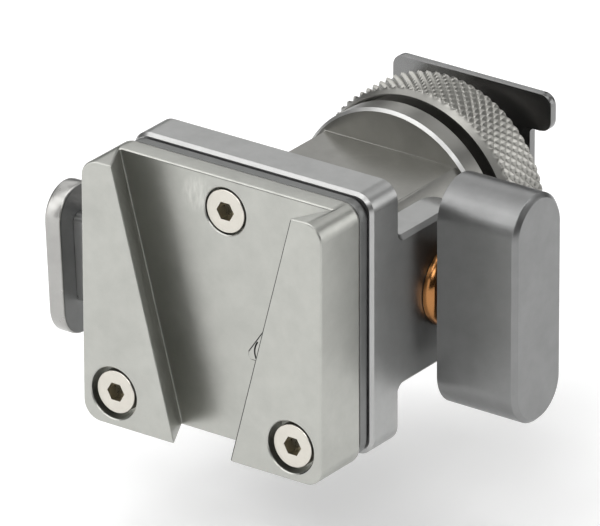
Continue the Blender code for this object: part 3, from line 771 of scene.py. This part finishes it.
def make_turned_parts():
    low, high = extent("lever_washer")
    flat = 2.75
    crown, tall = (high.z - low.z) / 2 - flat, high.x - low.x
    rim = [(flat + crown * u, low.x + tall * v) for u, v in arc((0, 0), 1, 90, 0, 18)]
    washer = turned("washer_blank", rim + [(2.1, low.x), (2.1, high.x)], "X", TILT, ring=True)
    show(washer, "lever_washer", BRONZE, TILT)

    head_root, head_end, radius = -11.66, BOLT_LOW.x, 3.45
    bolt = turned(
        "bolt_blank",
        rounded([
            (0, BOLT_HIGH.x), (2.0, BOLT_HIGH.x), (2.0, head_root), (radius, head_root),
            (radius, head_end), (0, head_end),
        ], 0.28),
        "X", TILT,
    )
    cut(bolt, hex_key("bolt_key", "X", TILT, BOLT_KEY, -16, -12.5))
    show(bolt, "tilt_bolt", SIDE_SCREW, TILT, smooth=25)

    rings = (
        ("lock_washer", "Y", 3.05, 0.15, PAN, TURNED_Y),
        ("swivel_collar", "Y", 2.55, 0.1, PAN, TURNED_Y),
        ("stud_washer", "Y", 1.3, 0.08, PAN, TURNED_Y),
        ("thrust_washer", "Y", 2.55, 0.05, PAN, PLASTIC),
    )
    for node, axis, inner, edge, centre, material in rings:
        low, high = extent(node)
        start, end = (low.y, high.y) if axis == "Y" else (low.x, high.x)
        outer = (high.z - low.z) / 2
        profile = [
            (outer - edge, end), (outer - edge * 0.3, end - edge * 0.3), (outer, end - edge),
            (outer, start + edge), (outer - edge * 0.3, start + edge * 0.3), (outer - edge, start),
            (inner, start), (inner, end),
        ]
        show(turned(node + "_blank", profile, axis, centre, ring=True), node, material)

    front = extent("stud_screw")[0].y
    screw = turned(
        "stud_screw_blank",
        rounded([(0, -14.4), (1.15, -14.4), (1.15, -19.0), (2.8, -19.0), (2.8, front), (0, front)], 0.25),
        "Y", PAN,
    )
    cut(screw, hex_key("stud_key", "Y", PAN, STUD_KEY, -22, -19.8))
    show(screw, "stud_screw", SCREW, (0, front, 0), smooth=25)


def dress_inner_parts():
    """The pieces that stay as the CAD has them get a finish each, from a table."""
    looks = {
        "tilt_bush_left": BRONZE, "tilt_bush_right": BRONZE, "tilt_shim_left": PLASTIC,
        "tilt_shim_right": PLASTIC, "lever_insert": SIDE_SCREW, "latch_spring": SLIDER,
    }
    for node, material in looks.items():
        mesh = frame["nodes"][node].data
        mesh.materials.clear()
        mesh.materials.append(material)


make_wedge_plate()
make_plate_screws()
make_layers()
make_head_clevis()
make_swivel_neck()
make_lock_wheel()
make_shoe_foot()
make_tilt_lever()
make_button()
make_slider()
make_catch()
make_turned_parts()
dress_inner_parts()


# ------------------------------------------------- camera, floor and light

CAMERA_AZIMUTH, CAMERA_ELEVATION, CAMERA_ROLL = 35.815, 24.381, -0.19
CAMERA_DISTANCE = 0.9675
CAMERA_TARGET = Vector((-0.00007, -0.02918, 0.00052))
FOCAL_PIXELS, FRAME_WIDTH, SENSOR = 10206.8, 600, 36.0


def direction(azimuth, elevation):
    """A unit vector at an azimuth from the front towards +X, and an elevation, in degrees."""
    turn, rise = math.radians(azimuth), math.radians(elevation)
    return Vector((math.cos(rise) * math.sin(turn), -math.cos(rise) * math.cos(turn), math.sin(rise)))


def make_camera():
    back = direction(CAMERA_AZIMUTH, CAMERA_ELEVATION)
    level = direction(CAMERA_AZIMUTH + 90, 0)
    upright = back.cross(level)
    roll = math.radians(CAMERA_ROLL)
    right = level * math.cos(roll) + upright * math.sin(roll)
    up = back.cross(right)
    data = bpy.data.cameras.new("camera")
    data.sensor_width = SENSOR
    data.lens = FOCAL_PIXELS * SENSOR / FRAME_WIDTH
    data.clip_start, data.clip_end = 0.05, 20.0
    camera = link("camera", data)
    turn = Matrix((right, up, back)).transposed().to_4x4()
    camera.matrix_world = Matrix.Translation(CAMERA_TARGET + back * CAMERA_DISTANCE) @ turn
    scene.camera = camera


# The floor is low enough for the head to tilt all the way down above it
FLOOR_DROP, FLOOR_GLOW = 0.0115, 0.26


def make_floor():
    mesh = bpy.data.meshes.new("floor")
    half, z = 3.0, CAD_BOX[0][2] - FLOOR_DROP
    corners = [(-half, -half, z), (half, -half, z), (half, half, z), (-half, half, z)]
    mesh.from_pydata(corners, [], [(0, 1, 2, 3)])
    floor = link("floor", mesh)
    paint = bpy.data.materials.new("floor_white")
    paint.use_nodes = True
    shader = paint.node_tree.nodes["Principled BSDF"]
    shader.inputs["Base Color"].default_value = (0.9, 0.9, 0.9, 1)
    shader.inputs["Roughness"].default_value = 0.9
    shader.inputs["Emission Color"].default_value = (1, 1, 1, 1)
    shader.inputs["Emission Strength"].default_value = FLOOR_GLOW
    mesh.materials.append(paint)


# Soft boxes round the object: azimuth, elevation, watts
SOFT_BOXES = (
    (-135, 35, 1.0), (-135, 62, 0.2), (180, 35, 0.7), (-45, 10, 1.6), (-45, 35, 1.8),
    (-45, 62, 1.15), (0, 10, 0.95), (0, 88, 1.9), (135, 10, 1.4), (135, 35, 0.25),
    (135, 62, 1.45), (90, 35, 0.4), (-95, 56, 0.7),
)
BOX_SIZE, BOX_DISTANCE = 0.5, 0.9
LIGHT_MIDDLE = Vector((0.0, -0.025, 0.0))

# Small lamps high in front, which pick out the turned and cut edges
EDGE_LAMPS = ((32, 38, 1.2), (-2, 54, 1.0))
EDGE_LAMP_SIZE = 0.3


def make_lights():
    world = bpy.data.worlds.new("studio")
    world.use_nodes = True
    backdrop = world.node_tree.nodes["Background"]
    backdrop.inputs["Color"].default_value = (1, 1, 1, 1)
    backdrop.inputs["Strength"].default_value = 0.03
    scene.world = world
    boxes = [(*soft, BOX_SIZE) for soft in SOFT_BOXES] + [(*lamp, EDGE_LAMP_SIZE) for lamp in EDGE_LAMPS]
    for number, (azimuth, elevation, power, size) in enumerate(boxes):
        away = direction(azimuth, elevation)
        data = bpy.data.lights.new(f"soft_box_{number}", "AREA")
        data.shape = "SQUARE"
        data.size = size
        data.energy = power
        lamp = link(data.name, data)
        lamp.location = LIGHT_MIDDLE + away * BOX_DISTANCE
        lamp.rotation_euler = (-away).to_track_quat("-Z", "Y").to_euler()


make_camera()
make_floor()
make_lights()
scene.view_settings.view_transform = "Standard"
